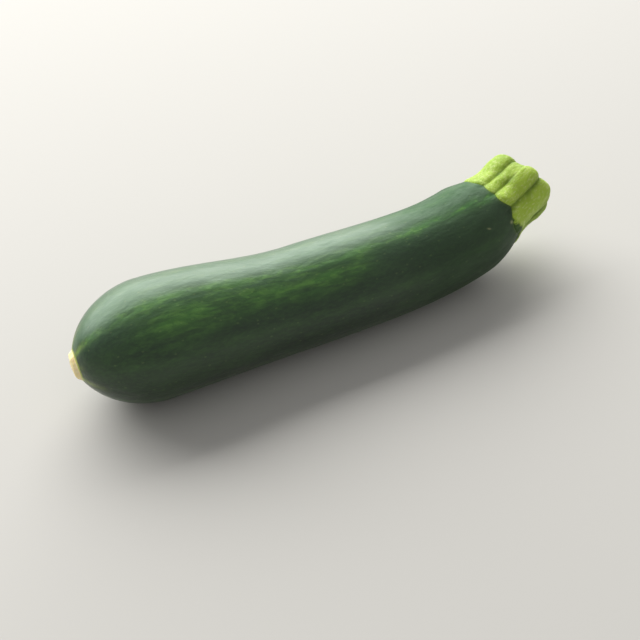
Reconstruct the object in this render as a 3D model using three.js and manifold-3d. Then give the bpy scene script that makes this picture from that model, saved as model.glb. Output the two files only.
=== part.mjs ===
import * as THREE from "three";
import { mergeVertices } from "three/addons/utils/BufferGeometryUtils.js";
import Module from "manifold-3d";

// A courgette, picked with a stub of its stem and lying on its side.
// Millimetres, +Z up. The blossom end is at -X and the stem at +X, and the fruit curves towards +Y.
// The origin is on the ground, under the middle of the whole.

// The fruit. Places on it are distances from its blossom end, along its curved middle line as seen
// from above.
const fruitLength = 182;
const bulbRadius = 23.5; // at its fattest
const bulbPlace = 30;
const waistRadius = 20; // along the slim stretch
const waistPlace = 92;
const neckRadius = 18.2; // where it starts to close on its stem
const startTurn = 0.5; // degrees from the straight line between its two ends
const startReach = 0.45; // how much of that line the start's direction carries
const endTurn = 13;
const endReach = 0.26;
const neckLift = 6.5; // how far its neck curves up off the ground
const neckLiftPlace = 120; // where that curve starts

// The blossom end: a blunt dome, closed by the corky scar that the flower left
const domeLength = 31;
const domeFullness = 1.85; // 2 rounds it as an ellipse does, and more is blunter
const scarRadius = 6;
const scarRise = 1.3; // how far the scar's middle stands out past its edge
const scarStep = 1; // how far its edge stands out of the skin
const scarTurn = 11; // degrees that the scar faces to the +Y side
const scarDroop = 11; // degrees that it faces down

// The stem end of the fruit
const shoulderLength = 17;
const shoulderFullness = 1.25;
const seatRadius = 15.4; // of the round face that carries the stem

// The flat that the fruit rests on, this deep in the round of its underside
const flatDepth = 0.4;

// The stem, a stub with fat ribs. Its widths are measured over the ribs.
const stemLength = 17.2;
const stemGap = 0.3; // between the two pieces
const stemInset = 0.2; // how far its foot stays inside the edge of the seat
const stemWaistRadius = 14.9;
const stemEndRadius = 15;
const footLength = 7; // over which it narrows from its foot
const tipRound = 4; // the rounding of the ribs' ends
const endHollow = 1.2; // how far the middle of its end has sunk
const endSlant = 9; // degrees that its cut end is out of square, longer on the -Y side
const stemLean = 3; // degrees that it goes on turning towards +Y
const stemRise = 2; // degrees that it goes on turning up
const ribHeight = 3.6;

// The ribs, as the stem grew them. An angle starts at the +Y side and goes up over the top.
const ribs = [
  { angle: 6, halfWidth: 32, share: 0.85 },
  { angle: 58, halfWidth: 33, share: 1 },
  { angle: 97, halfWidth: 16, share: 0.8 },
  { angle: 124, halfWidth: 20, share: 1 },
  { angle: 169, halfWidth: 33, share: 0.95 },
  { angle: 232, halfWidth: 36, share: 0.95 },
  { angle: 295, halfWidth: 34, share: 0.85 },
];

// How finely the round shapes are stepped
const fruitSides = 48;
const stemSides = 60;

const { clamp, degToRad, euclideanModulo, lerp, radToDeg, smoothstep } = THREE.MathUtils;
const wasm = await Module();
wasm.setup();

const skin = new THREE.MeshStandardMaterial({ color: "#2c4a2c", roughness: 0.38, metalness: 0 });
const stalk = new THREE.MeshStandardMaterial({ color: "#a3c44c", roughness: 0.75, metalness: 0 });

// A mesh that manifold-3d can cut: closed, with its shared corners merged
function solidOf(geometry) {
  const bare = geometry.clone();
  bare.deleteAttribute("normal");
  bare.deleteAttribute("uv");
  const merged = mergeVertices(bare, 1e-3);
  return new wasm.Manifold(
    new wasm.Mesh({
      numProp: 3,
      vertProperties: merged.getAttribute("position").array,
      triVerts: new Uint32Array(merged.index.array),
    }),
  );
}

function geometryOf(solid) {
  const { vertProperties, triVerts } = solid.getMesh();
  const geometry = new THREE.BufferGeometry();
  geometry.setAttribute("position", new THREE.BufferAttribute(vertProperties, 3));
  geometry.setIndex(new THREE.BufferAttribute(triVerts, 1));
  return geometry;
}

// A profile of [radius, place] points turned about the X axis
function turned(profile, sides) {
  const points = profile.map(([radius, place]) => new THREE.Vector2(radius, place));
  return new THREE.LatheGeometry(points, sides).rotateZ(-Math.PI / 2);
}

// Moves each corner of a geometry to where the function puts it
function reshape(geometry, move) {
  const corners = geometry.getAttribute("position");
  const corner = new THREE.Vector3();
  for (let i = 0; i < corners.count; i += 1) {
    move(corner.fromBufferAttribute(corners, i));
    corners.setXYZ(i, corner.x, corner.y, corner.z);
  }
  geometry.computeVertexNormals();
  return geometry;
}

// A quarter round from 0 to 1: an ellipse when the fullness is 2, and blunter above that
function quarterRound(share, fullness) {
  return (1 - (1 - clamp(share, 0, 1)) ** fullness) ** (1 / fullness);
}

// The fruit's middle line as seen from above, from the blossom end to the seat of the stem
function middleLine(chord) {
  const start = chord * startReach;
  const end = chord * endReach;
  return new THREE.CubicBezierCurve3(
    new THREE.Vector3(0, 0, 0),
    new THREE.Vector3(start, -start * Math.tan(degToRad(startTurn)), 0),
    new THREE.Vector3(chord - end, -end * Math.tan(degToRad(endTurn)), 0),
    new THREE.Vector3(chord, 0, 0),
  );
}
const line = middleLine(fruitLength / middleLine(1).getLength());

// The round of the fruit before its two ends close it
function bodyRadius(place) {
  const slim = lerp(bulbRadius, waistRadius, smoothstep(place, bulbPlace, waistPlace));
  return lerp(slim, neckRadius, smoothstep(place, waistPlace, fruitLength));
}

function fruitRadius(place) {
  const dome = quarterRound(place / domeLength, domeFullness);
  const shoulder = quarterRound((fruitLength - place) / shoulderLength, shoulderFullness);
  return lerp(seatRadius, bodyRadius(place) * dome, shoulder);
}

// Height of the middle line: the fruit rests on its underside, and only the neck curves up
function middleHeight(place) {
  const lifted = Math.max(0, (place - neckLiftPlace) / (fruitLength - neckLiftPlace));
  return bodyRadius(place) - flatDepth + neckLift * lifted ** 3;
}

// The middle line's own axes at a place: ahead along it, to its +Y side and up
function frameAt(place) {
  const step = 0.5;
  const onLine = line.getPointAt(place / fruitLength);
  const ahead = line.getTangentAt(place / fruitLength);
  ahead.z = (middleHeight(place + step) - middleHeight(place - step)) / (2 * step);
  ahead.normalize();
  const side = new THREE.Vector3(-ahead.y, ahead.x, 0).normalize();
  const up = new THREE.Vector3().crossVectors(ahead, side);
  const frame = new THREE.Matrix4().makeBasis(ahead, side, up);
  return frame.setPosition(onLine.x, onLine.y, middleHeight(place));
}

// Where the skin starts, at the edge of the scar
function scarPlace() {
  const share = (scarRadius / bulbRadius) ** domeFullness;
  return domeLength * (1 - (1 - share) ** (1 / domeFullness));
}

function fruitProfile() {
  const edge = scarPlace();
  const profile = [
    [0, edge - scarStep - scarRise],
    [scarRadius * 0.55, edge - scarStep - scarRise * 0.7],
    [scarRadius * 0.95, edge - scarStep],
    [scarRadius, edge],
  ];
  const domeSteps = 9;
  for (let i = 1; i <= domeSteps; i += 1) {
    const place = lerp(edge, domeLength, 1 - Math.cos(((i / domeSteps) * Math.PI) / 2));
    profile.push([fruitRadius(place), place]);
  }
  const bodySteps = 14;
  const shoulderStart = fruitLength - shoulderLength;
  for (let i = 1; i <= bodySteps; i += 1) {
    const place = lerp(domeLength, shoulderStart, i / bodySteps);
    profile.push([fruitRadius(place), place]);
  }
  const shoulderSteps = 6;
  for (let i = 1; i <= shoulderSteps; i += 1) {
    const place = shoulderStart + shoulderLength * Math.sin(((i / shoulderSteps) * Math.PI) / 2);
    profile.push([fruitRadius(place), place]);
  }
  profile.push([0, fruitLength]);
  return profile;
}

// Turns the scar's face, and the dome round it less and less, then bends the whole to the middle line
function growFruit(corner) {
  const share = (1 - clamp(corner.x / domeLength, 0, 1)) ** 2;
  const turn = corner.y * Math.tan(degToRad(scarTurn)) - corner.z * Math.tan(degToRad(scarDroop));
  corner.x += turn * share;
  const place = clamp(corner.x, 0, fruitLength);
  corner.x -= place;
  corner.applyMatrix4(frameAt(place));
}

function makeFruit() {
  const round = reshape(turned(fruitProfile(), fruitSides), growFruit);
  const thickness = 10;
  const slab = new THREE.BoxGeometry(fruitLength * 2, fruitLength, thickness);
  slab.translate(fruitLength / 2, 0, -thickness / 2);
  const fruit = new THREE.Mesh(geometryOf(solidOf(round).subtract(solidOf(slab))), skin);
  fruit.name = "fruit";
  return fruit;
}

// How far the ribs stand out at an angle, from 0 in the deepest groove to 1
function ribShare(angle) {
  const shares = ribs.map((rib) => {
    const away = euclideanModulo(angle - rib.angle + 180, 360) - 180;
    return rib.share * Math.sqrt(Math.max(0, 1 - (away / rib.halfWidth) ** 2));
  });
  return Math.max(...shares);
}

// The stem's outline over its ribs, from the middle of its foot to the middle of its end
function stemProfile() {
  const profile = [[0, 0]];
  const footSteps = 5;
  const footRadius = seatRadius - stemInset;
  for (let i = 0; i <= footSteps; i += 1) {
    const share = i / footSteps;
    profile.push([lerp(footRadius, stemWaistRadius, Math.sin((share * Math.PI) / 2)), footLength * share]);
  }
  const tipStart = stemLength - tipRound;
  profile.push([(stemWaistRadius + stemEndRadius) / 2, (footLength + tipStart) / 2]);
  profile.push([stemEndRadius, tipStart]);
  const tipSteps = 4;
  for (let i = 1; i <= tipSteps; i += 1) {
    const turn = ((i / tipSteps) * Math.PI) / 2;
    profile.push([stemEndRadius - tipRound * (1 - Math.cos(turn)), tipStart + tipRound * Math.sin(turn)]);
  }
  profile.push([0, stemLength - endHollow]);
  return profile;
}

// Sinks the grooves between the ribs, then slants and leans the stem more and more towards its end
function growRibs(corner) {
  const radius = Math.hypot(corner.y, corner.z);
  const angle = radToDeg(Math.atan2(corner.z, corner.y));
  const groove = ribHeight * (1 - ribShare(angle));
  const kept = 1 - (groove / stemWaistRadius) * Math.min(1, radius / stemWaistRadius);
  const lean = corner.x ** 2 / (2 * stemLength);
  const slant = (corner.x / stemLength) ** 2 * Math.tan(degToRad(endSlant));
  corner.set(
    corner.x - corner.y * slant,
    corner.y * kept + lean * Math.tan(degToRad(stemLean)),
    corner.z * kept + lean * Math.tan(degToRad(stemRise)),
  );
}

function makeStem() {
  const stem = new THREE.Mesh(reshape(turned(stemProfile(), stemSides), growRibs), stalk);
  stem.name = "stem";
  stem.applyMatrix4(frameAt(fruitLength));
  stem.translateX(stemGap);
  return stem;
}

const lying = new THREE.Group();
lying.add(makeFruit(), makeStem());
const middle = new THREE.Box3().setFromObject(lying, true).getCenter(new THREE.Vector3());
lying.position.set(-middle.x, -middle.y, 0);

const courgette = new THREE.Group();
courgette.name = "courgette";
courgette.add(lying);

export default courgette;
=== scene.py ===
import math

import bpy
import numpy as np
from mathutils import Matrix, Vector


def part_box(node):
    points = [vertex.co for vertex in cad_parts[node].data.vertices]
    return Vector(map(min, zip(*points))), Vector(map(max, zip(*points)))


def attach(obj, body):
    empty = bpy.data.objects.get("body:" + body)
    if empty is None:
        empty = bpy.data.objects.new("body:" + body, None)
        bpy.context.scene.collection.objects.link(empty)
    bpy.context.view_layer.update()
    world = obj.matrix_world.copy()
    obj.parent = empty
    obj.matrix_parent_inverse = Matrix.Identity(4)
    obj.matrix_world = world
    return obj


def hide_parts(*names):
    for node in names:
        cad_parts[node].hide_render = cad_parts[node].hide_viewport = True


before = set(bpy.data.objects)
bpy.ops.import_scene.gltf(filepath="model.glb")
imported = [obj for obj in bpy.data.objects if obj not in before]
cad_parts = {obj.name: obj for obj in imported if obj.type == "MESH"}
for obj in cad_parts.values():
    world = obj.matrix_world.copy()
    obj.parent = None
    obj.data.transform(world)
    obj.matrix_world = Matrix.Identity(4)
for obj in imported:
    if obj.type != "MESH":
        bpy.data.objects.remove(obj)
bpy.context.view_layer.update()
scene = bpy.context.scene
mm = 0.001  # shapes are worked out in millimetres, and Blender's unit is the metre

# A courgette lying on its side, as two closed surfaces: the fruit, with its blossom scar, and the stub of
# its stem. Their points are worked out as three numbers each, and then bent into place:
# a place is a distance along the fruit's middle line from its blossom end, in mm,
# a radius is a distance from that line, in mm,
# and an angle starts at the fruit's +Y side and goes up over its top, in degrees.


def mix(first, second, share):
    # first * (1 - s) + second * s
    return first + (second - first) * share


def smooth(value, start, end):
    # 0 up to start and 1 from end on, with 3s^2 - 2s^3 between them
    share = np.clip((value - start) / (end - start), 0, 1)
    return share * share * (3 - 2 * share)


def quarterRound(share, fullness):
    # (1 - (1 - s)^n)^(1/n): an ellipse's quarter for n = 2, blunter above
    return (1 - (1 - np.clip(share, 0, 1)) ** fullness) ** (1 / fullness)


def away(angle, centre):
    # degrees between two angles, the short way round
    return np.abs((angle - centre + 180) % 360 - 180)


def hump(distance, width):
    # exp(-(d / w)^2)
    return np.exp(-(distance / width) ** 2)


def steps(count):
    # shares that go up to 1 in equal steps, one to a ring, without the 0 that they start from
    return np.linspace(0, 1, count + 1)[1:, None]


netRings = 80  # of random heights, more than any net needs
netStart = 4  # of those rings lie before the blossom end


def uneven(place, angle, along, around, seed):
    # random heights from -1 to 1 on a net with `along` mm between its rings and `around` lines round the
    # fruit, joined with 3s^2 - 2s^3
    heights = np.random.default_rng(seed).uniform(-1, 1, (netRings, around))
    ring = np.clip(place / along + netStart, 0, netRings - 2)
    line = (angle % 360) / 360 * around
    below, thisLine = np.floor(ring).astype(int), np.floor(line).astype(int)
    up, beside = smooth(ring - below, 0, 1), smooth(line - thisLine, 0, 1)
    nextLine = (thisLine + 1) % around
    thisLine = thisLine % around
    near = mix(heights[below, thisLine], heights[below, nextLine], beside)
    far = mix(heights[below + 1, thisLine], heights[below + 1, nextLine], beside)
    return mix(near, far, up)


columns = 300  # of points round either piece, so that both follow the skin's edge alike

# Lengths in the fruit's and the stem's values are in mm. Their rounds, the middle line and the ribs repeat
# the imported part's.
fruit = {
    # its round
    "length": 182,
    "bulbRadius": 23.5,
    "bulbPlace": 30,
    "waistRadius": 20,
    "waistPlace": 92,
    "neckRadius": 18.2,
    "closing": (15, 3),  # before and past the seat of the stem, between which it closes on the stem
    "domeLength": 31,
    "domeFullness": 1.85,
    "flatDepth": 0.4,  # how far its underside is pressed flat
    "flatSoftness": 0.25,
    # its middle line
    "startTurn": 0.5,  # degrees from the straight line between its ends
    "startReach": 0.45,  # the share of that line which the start's direction carries
    "endTurn": 13,
    "endReach": 0.26,
    "neckLift": 6.5,  # how far the neck curves up off the ground
    "neckLiftPlace": 120,
    # the blossom scar
    "scarRadius": 6,
    "scarRise": 1.3,  # how far its middle stands past its edge
    "scarStep": 1.0,  # how far its edge stands out of the skin
    "scarTurn": 11,  # degrees that it faces to the +Y side
    "scarDroop": 11,  # degrees that it faces down
    "scarCorners": 0.07,  # share of its radius that its outline juts out at each ray
    "scarRoughness": 0.12,
    # its unevenness
    "lumps": 0.24,  # each 15 to 34 mm long
    "ridges": 0.3,  # where the stem's ribs run on into the neck
    "pucker": 0.16,  # the furrows round the blossom scar
    # the skin's ragged edge round the stem
    "edgeBack": 0.9,  # short of the seat
    "edgeBays": 3,  # how far it draws back at the crest of a rib
    "edgeTongues": [(133, 17, 3.0), (203, 12, 1.2), (266, 14, 1.8)],  # angle, width in degrees, how far on
    "edgeStep": 0.04,  # how far it dips at its edge
    "lip": [0.35, 1.1, 2.4, 5],  # how far inside the edge each ring of its hidden lip lies
    # streaks of paler flecks: angle, half width in degrees, strength, first and last place
    "streaks": [
        (104, 7, 1.0, -20, 215), (123, 14, 1.0, 18, 124), (128, 5, 0.35, 8, 45), (143, 10, 0.3, 2, 62),
        (68, 9, 0.42, -20, 215), (86, 4, 0.3, 10, 150), (33, 7, 0.4, -20, 215), (357, 5, 0.55, -20, 215),
        (322, 8, 0.35, -20, 215), (287, 5, 0.5, -20, 215), (249, 6, 0.35, 0, 190), (214, 5, 0.3, 0, 190),
        (160, 6, 0.18, 0, 190),
    ],
    # rays of the star round the scar: angle, strength, length
    "rays": [
        (56, 0.7, 12), (104, 0.55, 11), (147, 0.35, 5), (190, 0.8, 13), (221, 0.75, 12), (262, 0.6, 12),
        (301, 0.9, 14), (338, 0.6, 10), (19, 0.5, 9),
    ],
    "rimWidth": 1.2,  # of the yellow-green skin round the scar
    "paintedLightSide": (72, 42),  # angle and width of its lighter green, painted light under the highlight
    "downFrom": (105, 160),  # places between which the neck's down comes in
    "scratch": (168, 142),  # place and angle of a healed scratch
    "scratchRun": (0.83, 0.56),  # its direction, along the fruit and round it
    "scratchSize": (0.75, 0.28),  # half of its length and width
    "dot": (178.6, 157, 0.6),  # place, angle and radius of a pale dot by the stem
    # rings of points
    "scarRings": 22,
    "domeRings": 57,
    "bodyRings": 125,
    "neckRings": 63,
    "neckRingsFrom": 24,  # before the seat, where rings start to follow the skin's edge
}

stem = {
    "gap": 0.3,  # between it and the seat
    "length": 17.2,
    "waistRadius": 14.9,
    "endRadius": 15,
    "footLength": 7,
    "tipRound": 4.2,
    "endHollow": 1.4,  # how far the middle of its cut has sunk
    "lean": 3,  # degrees that it goes on turning towards +Y
    "rise": 2,
    "slant": 9,  # degrees that its cut end is out of square
    "ribHeight": 3.6,
    # angle, half width in degrees, share of the height
    "ribs": [
        (6, 32, 0.85), (58, 33, 1), (97, 16, 0.8), (124, 20, 1), (169, 33, 0.95), (232, 36, 0.95),
        (295, 34, 0.85),
    ],
    "tips": [0.3, 0.4, -0.7, 0.2, 0.9, 0, 0],  # how far each rib ends past the stem's length
    "heads": [0, 0.2, -0.3, 0.7, 0.2, 0, 0],  # how far it swells at its end
    "grooveTips": 1.3,  # how far the grooves end short of the ribs
    "groovesFrom": (7, 4),  # before the seat where the grooves start, and past it where they are full
    "filledGroove": (110, 8, 0.75),  # angle, width and share of one that fills up towards the end
    "belly": 0.25,  # how far the ribs swell halfway
    "toe": 0.7,  # how far a rib's foot stands on the skin
    "knobbles": 0.65,
    "footUnder": 0.6,  # how far it starts behind the skin's edge
    "paintedLightSide": (150, 55),  # angle and width of its lighter green, painted light that leaves the rib facing the window darker
    "footGreenAndShade": (182, 30),  # angle and width of the skin's green that creeps up it, with painted shade on that side
    "vesselRing": 7.6,  # radius of the ring of vessels in its cut
    # rings of points
    "ribRings": 76,
    "tipRings": 21,
    "cutRings": 25,
}

length = fruit["length"]


def lineOf(chord):
    # the cubic Bezier from end to end: (1-t)^3 A + 3(1-t)^2 t B + 3(1-t) t^2 C + t^3 D
    start, end = chord * fruit["startReach"], chord * fruit["endReach"]
    handles = np.array([
        [0, 0],
        [start, -start * math.tan(math.radians(fruit["startTurn"]))],
        [chord - end, -end * math.tan(math.radians(fruit["endTurn"]))],
        [chord, 0],
    ])
    t = np.linspace(0, 1, 4001)[:, None]
    weights = np.hstack([(1 - t) ** 3, 3 * (1 - t) ** 2 * t, 3 * (1 - t) * t ** 2, t ** 3])
    points = weights @ handles
    gaps = np.linalg.norm(np.diff(points, axis=0), axis=1)
    return points, np.concatenate([[0], np.cumsum(gaps)])


linePoints, lineArc = lineOf(length / lineOf(1)[1][-1])


def bodyRadius(place):
    # fattest at the bulb, slim at the waist, slimmest at the neck
    waist = fruit["waistPlace"]
    slim = mix(fruit["bulbRadius"], fruit["waistRadius"], smooth(place, fruit["bulbPlace"], waist))
    return mix(slim, fruit["neckRadius"], smooth(place, waist, length))


def middleHeight(place):
    # the underside stays on the ground, and only the neck curves up, with the cube of its place
    lifted = np.maximum(0, (place - fruit["neckLiftPlace"]) / (length - fruit["neckLiftPlace"]))
    return bodyRadius(place) - fruit["flatDepth"] + fruit["neckLift"] * lifted ** 3


def onLine(place):
    # the middle line's point above each place, on the ground
    return np.stack([np.interp(place, lineArc, linePoints[:, axis]) for axis in (0, 1)], -1)


def bend(place, across, upward):
    # centre + ahead * (what lies past an end) + side * across + up * upward, in the middle line's own axes
    on = np.clip(place, 0, length)
    half = 0.5  # mm either way, to find the line's direction
    turn = onLine(on + half) - onLine(on - half)
    turn = turn / np.linalg.norm(turn, axis=-1, keepdims=True)
    climb = (middleHeight(on + half) - middleHeight(on - half)) / (2 * half)
    ahead = np.concatenate([turn, climb[..., None]], -1)
    ahead /= np.linalg.norm(ahead, axis=-1, keepdims=True)
    side = np.stack([-ahead[..., 1], ahead[..., 0], 0 * on], -1)
    side /= np.linalg.norm(side, axis=-1, keepdims=True)
    up = np.cross(ahead, side)
    centre = np.concatenate([onLine(on), middleHeight(on)[..., None]], -1)
    return centre + ahead * (place - on)[..., None] + side * across[..., None] + up * upward[..., None]


def ribShare(angle):
    # the highest rib at that angle: share * sqrt(1 - (away / half width)^2)
    found = [share * np.sqrt(np.maximum(0, 1 - (away(angle, centre) / half) ** 2))
             for centre, half, share in stem["ribs"]]
    return np.max(found, axis=0)


def skinEdge(angle):
    # where the skin stops: back from the ribs' feet, and on in a few tongues and in the grooves
    tongues = sum(reach * hump(away(angle, centre), width) for centre, width, reach in fruit["edgeTongues"])
    ragged = 0.15 * uneven(0 * angle, angle, 1, 41, 5) + 0.3 * uneven(0 * angle, angle, 1, 19, 6)
    return length - fruit["edgeBack"] - fruit["edgeBays"] * ribShare(angle) ** 2.5 + tongues + ragged


def overRibs(place):
    # body * quarter round at the blossom end, then an S curve on to the stem, which widens again to its end
    closed = bodyRadius(place) * quarterRound(place / fruit["domeLength"], fruit["domeFullness"])
    widening = smooth(place - length - stem["gap"], stem["footLength"], stem["length"] - stem["tipRound"])
    stalk = mix(stem["waistRadius"], stem["endRadius"], widening)
    before, past = fruit["closing"]
    return mix(closed, stalk, smooth(place, length - before, length + past))


def grooved(radius, place, angle):
    # r * (1 - g / R * min(1, r / R)): the grooves deepen from the neck on, and run out towards the middle of
    # the cut
    before, past = stem["groovesFrom"]
    depth = stem["ribHeight"] * (1 - ribShare(angle)) * smooth(place, length - before, length + past)
    centre, width, share = stem["filledGroove"]
    depth = depth * (1 - share * hump(away(angle, centre), width) * smooth(place, length + 5, length + 13))
    full = stem["waistRadius"]
    return radius * (1 - depth / full * np.minimum(1, radius / full))


def laid(place, radius, angle):
    # (r cos a, r sin a) across and up, with the stem's slant and lean, each with the square of its place, and
    # the turned scar, which fades out over the dome, then bent to the middle line and pressed flat below
    turn = np.radians(angle)
    onStem = np.maximum(0, place - length - stem["gap"])
    lean = onStem ** 2 / (2 * stem["length"])
    slant = (onStem / stem["length"]) ** 2 * math.tan(math.radians(stem["slant"]))
    place = place - radius * np.cos(turn) * slant
    across = radius * np.cos(turn) + lean * math.tan(math.radians(stem["lean"]))
    upward = radius * np.sin(turn) + lean * math.tan(math.radians(stem["rise"]))
    face = (1 - np.clip(place / fruit["domeLength"], 0, 1)) ** 2
    place = place + face * across * math.tan(math.radians(fruit["scarTurn"]))
    place = place - face * upward * math.tan(math.radians(fruit["scarDroop"]))
    points = bend(place, across, upward)
    z = points[..., 2]
    points[..., 2] = (z + np.sqrt(z * z + fruit["flatSoftness"] ** 2)) / 2
    return points


def grownAt(place, radius, angle):
    # (place, r cos a, r sin a): the same point before the fruit bent, which the patterns follow
    turn = np.radians(angle)
    return np.stack([place, radius * np.cos(turn), radius * np.sin(turn)], -1)


def scarPlace():
    # the place where the dome is as wide as the scar: the quarter round turned about
    share = (fruit["scarRadius"] / fruit["bulbRadius"]) ** fruit["domeFullness"]
    return fruit["domeLength"] * (1 - (1 - share) ** (1 / fruit["domeFullness"]))


def shiftToPart():
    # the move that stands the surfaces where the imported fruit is: its low X, on the scar, and its middle Y
    place = np.linspace(scarPlace(), length, 900)
    place, angle = np.meshgrid(place, np.linspace(0, 360, 181), indexing="ij")
    radius = overRibs(place)
    # the first ring is the one where the scar stands out furthest once it is turned
    place[0] = scarPlace() - fruit["scarStep"] - 0.7 * fruit["scarRise"]
    radius[0] = 0.55 * fruit["scarRadius"]
    x, y = np.moveaxis(laid(place, radius, angle), -1, 0)[:2]
    low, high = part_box("fruit")
    return np.array([low.x / mm - x.min(), (low.y + high.y) / 2 / mm - (y.min() + y.max()) / 2, 0])


shift = shiftToPart()
print("shift from the middle line's start to the part's frame, mm:", shift.round(3))


def facesOf(rings):
    # a fan round the first pole, squares between the rings, and a fan round the last pole
    column = np.arange(columns)
    beside = (column + 1) % columns
    ring = 1 + columns * np.arange(rings - 3)[:, None]
    squares = np.stack([ring + column, ring + beside, ring + columns + beside, ring + columns + column], -1)
    lastRing = 1 + columns * (rings - 3)
    firstFan = np.stack([0 * column, 1 + beside, 1 + column], -1)
    lastFan = np.stack([0 * column + lastRing + columns, lastRing + column, lastRing + beside], -1)
    corners = np.concatenate([firstFan.ravel(), squares.ravel(), lastFan.ravel()])
    sizes = np.repeat([3] + [4] * (rings - 3) + [3], columns)
    return corners, sizes


def perPoint(grid):
    # one row to a point: the first pole, the rings between, and the last pole
    return np.concatenate([grid[0, :1], *grid[1:-1], grid[-1, :1]]).astype(np.float32)


def putInMesh(name, grid, values, materials, materialRows):
    # a piece from a grid of points in mm, rings by columns, closed round and with a pole at each end. Its
    # points carry the values, and materialRows has the number of a material for each row of faces.
    points = perPoint(grid * mm)
    corners, sizes = facesOf(len(grid))
    mesh = bpy.data.meshes.new(name)
    mesh.vertices.add(len(points))
    mesh.vertices.foreach_set("co", points.ravel())
    mesh.loops.add(len(corners))
    mesh.loops.foreach_set("vertex_index", corners.astype(np.int32))
    mesh.polygons.add(len(sizes))
    mesh.polygons.foreach_set("loop_start", (np.cumsum(sizes) - sizes).astype(np.int32))
    mesh.polygons.foreach_set("material_index", np.repeat(materialRows, columns).astype(np.int32))
    mesh.update(calc_edges=True)
    mesh.validate()
    mesh.shade_smooth()
    for key, value in values.items():
        wide = value.ndim == 3
        layer = mesh.attributes.new(key, "FLOAT_VECTOR" if wide else "FLOAT", "POINT")
        layer.data.foreach_set("vector" if wide else "value", perPoint(value).ravel())
    piece = bpy.data.objects.new(name, mesh)
    scene.collection.objects.link(piece)
    for material in materials:
        mesh.materials.append(material)
    print(name, len(mesh.vertices), "points,", len(corners) - 2 * len(sizes), "triangles")
    return piece


def linear(code):
    # an sRGB hex colour as linear light: c / 12.92 up to 0.04045, else ((c + 0.055) / 1.055)^2.4
    parts = [int(code[i:i + 2], 16) / 255 for i in (1, 3, 5)]
    return [p / 12.92 if p <= 0.04045 else ((p + 0.055) / 1.055) ** 2.4 for p in parts] + [1.0]


def addNode(owner, kind, inputs=None, output=0, **settings):
    # one node of a material or a world. Its inputs are numbers, hex colours or the sockets that feed them,
    # and the settings are its own properties. What comes back is the output that the next node takes.
    node = owner.node_tree.nodes.new("ShaderNode" + kind)
    for key, value in settings.items():
        setattr(node, key, value)
    for key, value in (inputs or {}).items():
        if isinstance(value, bpy.types.NodeSocket):
            owner.node_tree.links.new(value, node.inputs[key])
        else:
            node.inputs[key].default_value = linear(value) if isinstance(value, str) else value
    return node.outputs[output] if node.outputs else None


def newMaterial(name):
    material = bpy.data.materials.new(name)
    material.use_nodes = True
    material.node_tree.nodes.clear()
    return material


def finished(material, finish):
    # the material with one shader that has this finish
    shader = addNode(material, "BsdfPrincipled", finish)
    addNode(material, "OutputMaterial", {"Surface": shader})
    return material


def pattern(material, along, across, between=None, gives=(0.0, 1.0), detail=3.0, roughness=0.55, warp=0.0,
            shiftBy=0.0):
    # noise with grains of `along` by `across` mm, on the fruit as it was before it bent. `between` is the
    # part of its range that is spread over what it `gives`, with 3s^2 - 2s^3.
    grown = addNode(material, "Attribute", output="Vector", attribute_name="grown")
    scaled = addNode(material, "Mapping", {
        "Vector": grown,
        "Location": (shiftBy, shiftBy, shiftBy),
        "Scale": (1 / along, 1 / across, 1 / across),
    })
    noise = addNode(material, "TexNoise", {
        "Vector": scaled, "Scale": 1.0, "Detail": detail, "Roughness": roughness, "Distortion": warp})
    if between is None:
        return noise
    return addNode(material, "MapRange", {
        "Value": noise,
        "From Min": between[0],
        "From Max": between[1],
        "To Min": gives[0],
        "To Max": gives[1],
    }, interpolation_type="SMOOTHSTEP")


def weighted(material, parts):
    # the sum of the parts, each times its weight
    total = 0.0
    for part, weight in parts:
        total = addNode(material, "Math", {0: part, 1: weight, 2: total}, operation="MULTIPLY_ADD")
    return total


def tinted(material, colour, mask, strength, tint, mode="MIX"):
    # colour * (1 - s) + tint * s, where s is the mask times its strength. A mask is a pattern, or the name of
    # a value that the points carry. LIGHTEN only ever makes the colour lighter.
    if isinstance(mask, str):
        mask = addNode(material, "Attribute", output="Fac", attribute_name=mask)
    share = addNode(material, "Math", {0: mask, 1: strength}, operation="MULTIPLY")
    layers = {0: share, 6: colour, 7: tint}
    return addNode(material, "Mix", layers, output=2, data_type="RGBA", blend_type=mode)


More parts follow.
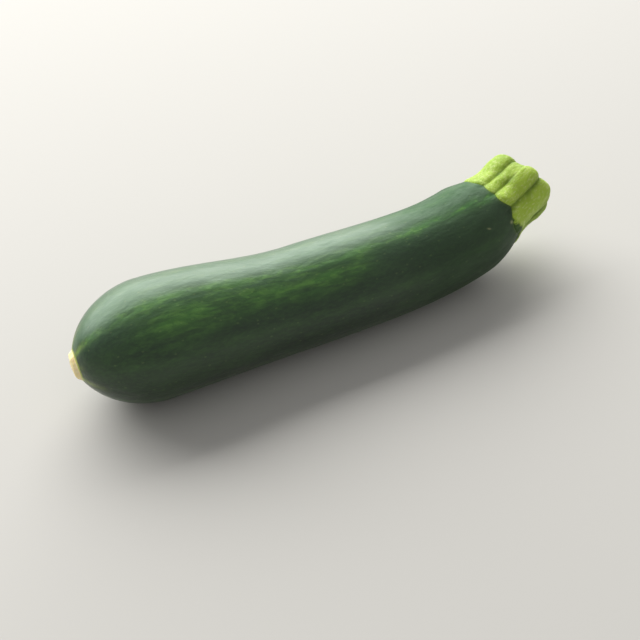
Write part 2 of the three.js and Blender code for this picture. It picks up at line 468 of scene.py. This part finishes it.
def makeWaxyRind():
    # Courgette rind: a thin dark green skin under plant wax, with streaks of paler flecks from end to end.
    # The wax is a clear coat that gives one broad satin sheen, broken up by shallow dimples. Short down takes
    # its place on the neck, which shines less.
    m = newMaterial("waxyCourgetteRind")
    clouds = pattern(m, 26, 9, between=(0.38, 0.66), detail=4)
    colour = tinted(m, "#272f26", clouds, 1, "#303e2c")
    streak = addNode(m, "Attribute", output="Fac", attribute_name="streak")
    breaks = pattern(m, 17, 3.2, between=(0.3, 0.62), gives=(0.25, 1.15), detail=4, roughness=0.6, warp=0.4,
                     shiftBy=3)
    streak = addNode(m, "Math", {0: streak, 1: breaks}, operation="MULTIPLY")
    colour = tinted(m, colour, streak, 0.85, "#40682e")
    flecks = pattern(m, 5, 2, between=(0.42, 0.66), detail=4, warp=0.6)
    flecks = addNode(m, "Math", {0: streak, 1: flecks}, operation="MULTIPLY")
    colour = tinted(m, colour, flecks, 0.45, "#5f8a3e")
    fine = pattern(m, 2.2, 0.9, between=(0.42, 0.66), roughness=0.6, shiftBy=7)
    colour = tinted(m, colour, fine, 0.12, "#4f7a3c")
    # pale pores, about 0.4 mm across and 3 to 4 mm apart, drawn up to 1 mm across so that they show
    grown = addNode(m, "Attribute", output="Vector", attribute_name="grown")
    inPores = addNode(m, "Mapping", {"Vector": grown, "Scale": (0.24, 0.36, 0.36)})  # pores to a mm
    toPore = addNode(m, "TexVoronoi", {"Vector": inPores, "Scale": 1.0, "Randomness": 1.0})
    pore = addNode(m, "MapRange", {"Value": toPore, "From Min": 0.17, "From Max": 0.08},
                   interpolation_type="SMOOTHSTEP")
    colour = tinted(m, colour, pore, 0.12, "#8fa866")
    # the star round the blossom scar: rays that fade out into the green, and a yellow-green rim
    ray = addNode(m, "Attribute", output="Fac", attribute_name="ray")
    breaks = pattern(m, 6, 1.2, between=(0.3, 0.6), gives=(0.45, 1.0), roughness=0.6, shiftBy=11)
    ray = addNode(m, "Math", {0: ray, 1: breaks}, operation="MULTIPLY")
    colour = tinted(m, colour, ray, 1, "#9aae3c")
    colour = tinted(m, colour, "rim", 1, "#b4bd4e")
    # its upper side is a lighter green, painted light under the highlight, and the down greys the neck,
    # lightened further by a painted reflection
    colour = tinted(m, colour, "paintedLight", 0.62, "#315f36", "LIGHTEN")
    # the lighter tint on the neck is partly the down's grey and partly a painted reflection for the shine
    # that the neck loses
    colour = tinted(m, colour, "downAndPaintedReflection", 0.45, "#40503c", "LIGHTEN")
    colour = tinted(m, colour, "collar", 0.2, "#7f9a3e")  # a paler line along its edge
    colour = tinted(m, colour, "healed", 1, "#b9b98a")  # the scratch and the dot
    dimples = pattern(m, 3.4, 1.5, detail=4, roughness=0.6)
    swells = pattern(m, 14, 5, detail=2, roughness=0.5, shiftBy=5)
    height = weighted(m, [(dimples, 0.55), (swells, 1.3), (pore, -0.07)])
    down = addNode(m, "Attribute", output="Fac", attribute_name="downAndPaintedReflection")
    dullness = pattern(m, 9, 3, between=(0.3, 0.7), gives=(0.34, 0.5), detail=4, roughness=0.6, shiftBy=9)
    return finished(m, {
        "Base Color": colour,
        "Roughness": weighted(m, [(dullness, 1), (down, 0.2)]),
        "IOR": 1.45,
        "Specular IOR Level": 0.45,
        "Specular Tint": "#c4f2c8",
        "Coat Weight": addNode(m, "MapRange", {"Value": down, "To Min": 0.6, "To Max": 0.0},
                               interpolation_type="SMOOTHSTEP"),
        "Coat Roughness": 0.38,
        "Coat IOR": 1.4,
        "Normal": addNode(m, "Bump", {"Strength": 1.0, "Distance": 0.3 * mm, "Height": height}),
    })


def makeBlossomScar():
    # Cork that closed over where the flower fell: dry, cream, matt, browner in its cracks and greener at its
    # edge, with a little light in it
    m = newMaterial("driedBlossomScarCork")
    clouds = pattern(m, 4, 3.5, between=(0.35, 0.65))
    colour = tinted(m, "#f9e4ac", clouds, 1, "#fdecbe")
    cracks = pattern(m, 1.4, 1.1, between=(0.35, 0.68), detail=5, roughness=0.65, warp=0.5)
    colour = tinted(m, colour, cracks, 0.22, "#e2c78c")
    colour = tinted(m, colour, "rim", 1, "#c4bd5c")
    height = pattern(m, 0.9, 0.7, detail=4, roughness=0.65)
    return finished(m, {
        "Base Color": colour,
        "Roughness": 0.88,
        "Specular IOR Level": 0.35,
        "Subsurface Weight": 0.35,
        "Subsurface Radius": (1.0, 0.8, 0.5),
        "Subsurface Scale": 2 * mm,
        "Normal": addNode(m, "Bump", {"Strength": 0.9, "Distance": 0.25 * mm, "Height": height}),
    })


def makeVelvetyStalk():
    # Squash stalk: juicy light green ribs under a fur of hairs too short to see one by one. The fur takes the
    # shine off and lights up the edges, and pale flecks run along the ribs, partly the hairs and partly a
    # painted highlight on the crests. The grooves are a deeper green.
    m = newMaterial("velvetyCourgetteStalk")
    crest = addNode(m, "Attribute", output="Fac", attribute_name="crest")
    onRib = addNode(m, "MapRange", {"Value": crest, "From Min": 0.35, "From Max": 0.95},
                    interpolation_type="SMOOTHSTEP")
    # pale flecks, strongest on the crests: partly hairs and partly a painted highlight
    fleckAndGlintShare = addNode(m, "MapRange", {
        "Value": crest, "From Min": 0.4, "From Max": 0.95, "To Min": 0.1, "To Max": 0.6},
        interpolation_type="SMOOTHSTEP")
    # the ribs' green is lighter round one side: painted light, which leaves the rib that faces the window
    # darker
    colour = tinted(m, "#55701a", onRib, 1, tinted(m, "#85a529", "paintedLight", 1, "#a9c545"))
    colour = tinted(m, colour, pattern(m, 6, 4, between=(0.36, 0.66)), 0.4, "#a9c244")
    flecks = pattern(m, 1.4, 0.8, between=(0.48, 0.68), detail=4, roughness=0.65, warp=0.3, shiftBy=4)
    colour = tinted(m, colour, flecks, fleckAndGlintShare, "#cdd98c")
    # the skin's dark green creeps up its foot, with a ragged end, and painted shade darkens the same place,
    # broadest on the side turned from the window
    foot = addNode(m, "Attribute", output="Fac", attribute_name="foot")
    ragged = pattern(m, 2, 1.4, between=(0.3, 0.7), gives=(-0.14, 0.14), detail=4, roughness=0.6, shiftBy=2)
    dark = addNode(m, "MapRange", {
        "Value": weighted(m, [(foot, 1), (ragged, 1)]), "From Min": 0.42, "From Max": 0.75},
        interpolation_type="SMOOTHSTEP")
    colour = tinted(m, colour, dark, 1, "#38551f")
    # the hairs are a tenth of a millimetre thick, and are drawn as tufts of 0.8 by 0.5 mm so that they show
    hairs = pattern(m, 0.8, 0.5, roughness=0.7)
    knobs = pattern(m, 3.4, 2.2, shiftBy=6)
    height = weighted(m, [(hairs, 0.5), (knobs, 2.0)])
    return finished(m, {
        "Base Color": colour,
        "Roughness": 0.55,
        "IOR": 1.4,
        "Specular IOR Level": 0.35,
        "Subsurface Weight": 0.12,
        "Subsurface Radius": (0.6, 1.0, 0.3),
        "Subsurface Scale": 1.6 * mm,
        "Sheen Weight": 0.07,
        "Sheen Roughness": 0.45,
        "Sheen Tint": "#eef5cf",
        "Normal": addNode(m, "Bump", {"Strength": 0.9, "Distance": 0.3 * mm, "Height": height}),
    })


def makeDriedCut():
    # The knife's cut across the stalk, a day or two old: pale, fibrous, shrunk and browning at its edge, with
    # a ring of greener vessels
    m = newMaterial("driedStalkCut")
    colour = tinted(m, "#b9bf7c", pattern(m, 3, 3, between=(0.35, 0.65)), 1, "#cfcf98")
    fibres = pattern(m, 5, 0.8, between=(0.38, 0.66), detail=4, roughness=0.6, warp=0.3)
    colour = tinted(m, colour, fibres, 0.6, "#98a055")
    colour = tinted(m, colour, "vessels", 1, "#7d8a3e")
    colour = tinted(m, colour, "dryEdge", 1, "#8e7a45")
    height = pattern(m, 2, 0.7, detail=4, roughness=0.6)
    return finished(m, {
        "Base Color": colour,
        "Roughness": 0.8,
        "Specular IOR Level": 0.4,
        "Normal": addNode(m, "Bump", {"Strength": 0.9, "Distance": 0.3 * mm, "Height": height}),
    })


def swellings(place, angle):
    # lumps from two nets, ridges where the ribs run on down the neck, furrows along the blossom star's rays
    lumps = fruit["lumps"] * (0.65 * uneven(place, angle, 34, 7, 1) + 0.35 * uneven(place, angle, 15, 12, 2))
    ridges = fruit["ridges"] * (ribShare(angle) - 0.7) * smooth(place, length - 70, length - 8)
    star = sum(strength * hump(away(angle, centre), 9) for centre, strength, reach in fruit["rays"])
    furrows = -fruit["pucker"] * star * smooth(place, 1.2, 3) * (1 - smooth(place, 3, 16))
    calm = smooth(place, 1.5, 14) * (1 - smooth(place, length - 12, length - 3))
    return lumps * calm + ridges + furrows


def scarRings(angle):
    # a cap that falls with the cube of the share of its radius, rough, with a step down to the skin. Its
    # outline juts out at each ray.
    share = np.linspace(0, 1, fruit["scarRings"])[:, None]
    corners = sum(strength * hump(away(angle, centre), 13) for centre, strength, reach in fruit["rays"])
    outline = 0.955 + fruit["scarCorners"] * corners + 0.012 * uneven(0 * angle, angle, 1, 40, 8)
    rough = uneven(share * 60, angle + 0 * share, 7, 14, 9) * smooth(share, 0.05, 0.3)
    rough = fruit["scarRoughness"] * rough * (1 - smooth(share, 0.85, 1))
    step = fruit["scarStep"] * (1 - smooth(share, 0.78, 1))
    places = scarPlace() - step - fruit["scarRise"] * (1 - share ** 3) + rough
    radii = fruit["scarRadius"] * outline * share
    places[0] = places[0].mean()
    return places, radii, outline


def fruitGrid():
    # rings: the scar from its middle out, the dome, the body, the neck up to the skin's edge, and a lip
    angle = np.linspace(0, 360, columns, endpoint=False)[None, :]
    scarPlaces, scarRadii, outline = scarRings(angle)
    edge, domeEnd, skinEnd = scarPlace(), fruit["domeLength"], skinEdge(angle)
    neckStart = length - fruit["neckRingsFrom"]
    domePlaces = edge + (domeEnd - edge) * (1 - np.cos(steps(fruit["domeRings"]) * math.pi / 2)) + 0 * angle
    bodyPlaces = mix(domeEnd, neckStart, steps(fruit["bodyRings"])) + 0 * angle
    neckPlaces = mix(neckStart, skinEnd, steps(fruit["neckRings"]))
    places = np.concatenate([domePlaces, bodyPlaces, neckPlaces])
    around = angle + 0 * places
    radii = grooved(overRibs(places) + swellings(places, around), places, around)
    # near the scar the round follows the scar's own outline
    radii = radii * mix(outline, 1, smooth(places, edge, edge + 3))
    radii -= fruit["edgeStep"] * (1 - smooth(skinEnd - places, 0, 0.4))
    # the lip slopes in under the stem's foot and closes in the middle
    inward = np.array(fruit["lip"])[:, None]
    lipPlaces = skinEnd - inward * 0.7
    lipRadii = radii[-1:] - inward
    middle = length - 7 + 0 * angle
    places = np.concatenate([scarPlaces, places, lipPlaces, middle])
    radii = np.concatenate([scarRadii, radii, lipRadii, 0 * middle])
    return places, radii, angle + 0 * places


def paintedLightSide(angle, piece):
    # a hump round the side where a lighter green is painted in as light
    centre, width = piece["paintedLightSide"]
    return hump(away(angle, centre), width)


def healedMarks(places, angle):
    # a hump stretched along the scratch, and a round one at the dot
    place, centre = fruit["scratch"]
    along, around = places - place, (angle - centre) * math.radians(stem["waistRadius"] + 3)
    run, rise = fruit["scratchRun"]
    halfLength, halfWidth = fruit["scratchSize"]
    scratch = 0.5 * hump(run * along + rise * around, halfLength)
    scratch = scratch * hump(rise * along - run * around, halfWidth)
    place, centre, radius = fruit["dot"]
    dot = 0.6 * hump(np.hypot(places - place, (angle - centre) * 0.3), radius)
    return np.clip(np.maximum(scratch, dot), 0, 1)


def fruitValues(places, radii, angle):
    # what the fruit's points carry: masks from 0 to 1, each a sum of humps or an S curve
    onScar = np.arange(len(places))[:, None] < fruit["scarRings"]
    drift = 3 * uneven(places, angle, 22, 6, 3) + 1.2 * uneven(places, angle, 7, 30, 4)
    fade = 18  # mm over which a streak comes and goes
    streak = sum(
        strength * hump(away(angle + drift, centre), width) * smooth(places, first, first + fade)
        * (1 - smooth(places, last - fade, last))
        for centre, width, strength, first, last in fruit["streaks"])
    # mm from the scar's edge, as far as the dome is round
    beyond = np.where(onScar, 0, np.hypot(places - scarPlace(), radii - fruit["scarRadius"]))
    ray = sum(
        strength * hump(away(angle, centre) * np.maximum(radii, 4) * math.pi / 180, 1.1 + 0.05 * beyond)
        * np.clip(1 - beyond / reach, 0, 1) ** 1.3
        for centre, strength, reach in fruit["rays"])
    return {
        "grown": grownAt(places, radii, angle),
        "streak": np.clip(streak, 0, 1),
        # the lighter upper side is painted light, under the highlight
        "paintedLight": paintedLightSide(angle, fruit),
        # the neck's down, whose lighter tint is partly a painted reflection
        "downAndPaintedReflection": smooth(places, *fruit["downFrom"]),
        "ray": np.clip(ray, 0, 1) * ~onScar,
        "rim": np.where(onScar, 0.5 * smooth(radii, 5.8, 6.1), 1 - smooth(beyond, 0.2, fruit["rimWidth"])),
        "collar": hump(np.maximum(0, skinEdge(angle) - places), 0.8),
        "healed": healedMarks(places, angle),
    }


def makeFruit():
    # the skin's rows of faces have the rind, and the scar's have the cork
    places, radii, angle = fruitGrid()
    scarRows = np.arange(len(places) - 1) < fruit["scarRings"] - 1
    fruitPiece = putInMesh(
        "courgetteFruit", laid(places, radii, angle) + shift, fruitValues(places, radii, angle),
        [makeWaxyRind(), makeBlossomScar()], scarRows)
    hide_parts("fruit")
    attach(fruitPiece, "root")
    print("fruit made")


def stemGrid():
    # rings: the foot's hidden closing, the ribs up to the tips, the tips' round, the sunken cut
    angle = np.linspace(0, 360, columns, endpoint=False)[None, :]
    share = ribShare(angle)
    near = [hump(away(angle, centre), half * 0.75) for centre, half, height in stem["ribs"]]
    start = skinEdge(angle) - stem["footUnder"]
    tip = length + stem["gap"] + stem["length"] - stem["grooveTips"] * (1 - share)
    tip = tip + sum(further * rib for further, rib in zip(stem["tips"], near))
    tipStart = tip - stem["tipRound"]
    places = mix(start, tipStart, np.linspace(0, 1, stem["ribRings"])[:, None])
    around = angle + 0 * places
    fromSkin = places - start
    toe = stem["toe"] * share * smooth(fromSkin, -0.2, 2.4) * (1 - smooth(fromSkin, 3, 10))
    belly = stem["belly"] * share * np.sin(math.pi * np.clip((fromSkin - 3) / 17, 0, 1)) ** 2
    heads = sum(swell * rib for swell, rib in zip(stem["heads"], near))
    heads = heads * smooth(places, tipStart - 7, tipStart)
    knobbly = 0.6 * uneven(places, around, 5.2, 17, 13) + 0.4 * uneven(places, around, 2.6, 32, 14)
    knobbles = stem["knobbles"] * knobbly * smooth(fromSkin, 1, 3.4)
    tuckedIn = 0.3 * (1 - smooth(fromSkin, 0.2, 0.9))
    radii = overRibs(places) + toe + belly + heads + knobbles - tuckedIn
    # the tips are a quarter circle
    turn = steps(stem["tipRings"]) * math.pi / 2
    tipPlaces = tipStart + stem["tipRound"] * np.sin(turn)
    tipRadii = radii[-1:] - stem["tipRound"] * (1 - np.cos(turn))
    # the cut sinks towards its middle, and a little further just inside its edge
    inner = 1 - steps(stem["cutRings"])
    cutRadii = tipRadii[-1:] * inner
    fibres = 0.1 * uneven(inner * 9, angle + 0 * inner, 3, 60, 15)
    fibres = fibres + 0.14 * uneven(inner * 20, angle + 0 * inner, 5, 16, 16)
    fibres = fibres * smooth(1 - inner, 0, 0.1) * smooth(inner, 0, 0.2)
    sunken = mix(tip, tip.mean() - stem["endHollow"], 1 - inner ** 1.6)
    cutPlaces = sunken - 0.5 * hump(inner - 0.86, 0.1) + fibres
    cutPlaces[-1] = cutPlaces[-1].mean()
    # the foot closes under the skin
    inward = np.array([4.2, 2.2, 1.0, 0.3])[:, None]
    footPlaces = start - inward * 0.45
    footRadii = radii[:1] - inward
    middle = length - 4.6 + 0 * angle
    places = np.concatenate([middle, footPlaces, places, tipPlaces, cutPlaces])
    radii = np.concatenate([0 * middle, footRadii, radii, tipRadii, cutRadii])
    around = angle + 0 * places
    return places, grooved(radii, places, around), around


def stemValues(places, radii, angle, firstCutRing):
    # what the stem's points carry: masks from about 0 to 1, as the fruit's do
    inCut = np.arange(len(places))[:, None] >= firstCutRing
    centre, width = stem["footGreenAndShade"]
    shadedSide = hump(away(angle, centre), width)
    # 20 vessels on a wavy ring, a wave to a rib
    ring = stem["vesselRing"] + 0.5 * np.cos(np.radians(angle * len(stem["ribs"])))
    vessels = hump(radii - ring, 0.7) * (np.cos(np.radians(angle * 20)) > 0.2)
    return {
        "grown": grownAt(places, radii, angle),
        "crest": ribShare(angle) + 0.12 * uneven(places, angle, 5, 26, 17),
        # the darker foot is partly the skin's green and partly painted shade
        "foot": (1 - smooth(places - skinEdge(angle), -0.6, 2 + 5 * shadedSide)) * (0.3 + 0.7 * shadedSide),
        # a lighter green painted in as light round one side of the ribs
        "paintedLight": paintedLightSide(angle, stem),
        "vessels": vessels * 0.8,
        "dryEdge": smooth(radii / np.maximum(radii[firstCutRing - 1], 1), 0.86, 1.0) * inCut * 0.8,
    }


def makeStem():
    # the ribs' rows of faces have the stalk's fur, and the last ones are cut
    places, radii, angle = stemGrid()
    firstCutRing = len(places) - stem["cutRings"]
    cutRows = np.arange(len(places) - 1) >= firstCutRing - 1
    stemPiece = putInMesh(
        "courgetteStem", laid(places, radii, angle) + shift, stemValues(places, radii, angle, firstCutRing),
        [makeVelvetyStalk(), makeDriedCut()], cutRows)
    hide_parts("stem")
    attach(stemPiece, "root")
    print("stem made")


room = {
    "floorSize": 2.4,  # metres
    "floorColour": "#c4c2bd",
    "windowAzimuth": 178,  # degrees, 0 at -Y and 90 at +X
    "windowLow": 8,  # degrees above the ground where it starts and stops
    "windowHigh": 60,
    "windowAway": 1.3,  # metres from the courgette
    "windowWidth": 2.3,
    "windowRadiance": 5.4,
    "skyRadiance": 0.41,
    "backdrop": "#efeeea",
}

view = {
    "azimuth": -28.9,
    "elevation": 43.5,
    "away": 0.8135,  # metres from what it aims at
    "lens": 117.3,
    "aim": (0.0016, 0.0001, 0),
}


def directionOf(azimuth, elevation):
    # (sin a cos e, -cos a cos e, sin e): azimuth 0 stands at -Y and 90 at +X
    a, e = math.radians(azimuth), math.radians(elevation)
    return Vector((math.sin(a) * math.cos(e), -math.cos(a) * math.cos(e), math.sin(e)))


def makeFloor():
    half = room["floorSize"] / 2
    corners = [(-half, -half, 0), (half, -half, 0), (half, half, 0), (-half, half, 0)]
    mesh = bpy.data.meshes.new("floor")
    mesh.from_pydata(corners, [], [(0, 1, 2, 3)])
    floor = bpy.data.objects.new("floor", mesh)
    scene.collection.objects.link(floor)
    # matt paper: no shine worth the name
    mesh.materials.append(finished(newMaterial("paleMattPaper"), {
        "Base Color": room["floorColour"], "Roughness": 0.95, "Specular IOR Level": 0.1}))


def makeWindow():
    # a rectangle of light that faces the courgette
    middle = (room["windowLow"] + room["windowHigh"]) / 2
    half = math.radians(room["windowHigh"] - room["windowLow"]) / 2
    height = 2 * room["windowAway"] * math.tan(half)
    light = bpy.data.lights.new("window", "AREA")
    light.shape = "RECTANGLE"
    light.size = room["windowWidth"]
    light.size_y = height
    light.energy = room["windowRadiance"] * math.pi * room["windowWidth"] * height
    light.color = (1.0, 1.0, 0.99)
    lamp = bpy.data.objects.new("window", light)
    towards = directionOf(room["windowAzimuth"], middle)
    lamp.location = towards * room["windowAway"]
    lamp.rotation_euler = towards.to_track_quat("Z", "Y").to_euler()
    lamp.visible_camera = False
    scene.collection.objects.link(lamp)


def makeSky():
    # a dim even sky for light, and a pale one where the camera sees past the floor
    world = bpy.data.worlds.new("sky")
    world.use_nodes = True
    world.node_tree.nodes.clear()
    seen = addNode(world, "LightPath", output="Is Camera Ray")
    dim = addNode(world, "Background", {"Color": "#ffffff", "Strength": room["skyRadiance"]})
    pale = addNode(world, "Background", {"Color": room["backdrop"]})
    either = addNode(world, "MixShader", {0: seen, 1: dim, 2: pale})
    addNode(world, "OutputWorld", {"Surface": either})
    scene.world = world


def makeCamera():
    data = bpy.data.cameras.new("camera")
    data.lens = view["lens"]
    data.clip_start = 0.01
    camera = bpy.data.objects.new("camera", data)
    back = directionOf(view["azimuth"], view["elevation"])
    camera.location = Vector(view["aim"]) + back * view["away"]
    camera.rotation_euler = back.to_track_quat("Z", "Y").to_euler()
    scene.collection.objects.link(camera)
    scene.camera = camera


makeFruit()
makeStem()
makeFloor()
makeWindow()
makeSky()
makeCamera()
scene.view_settings.view_transform = "Standard"
print("floor, light and camera made")
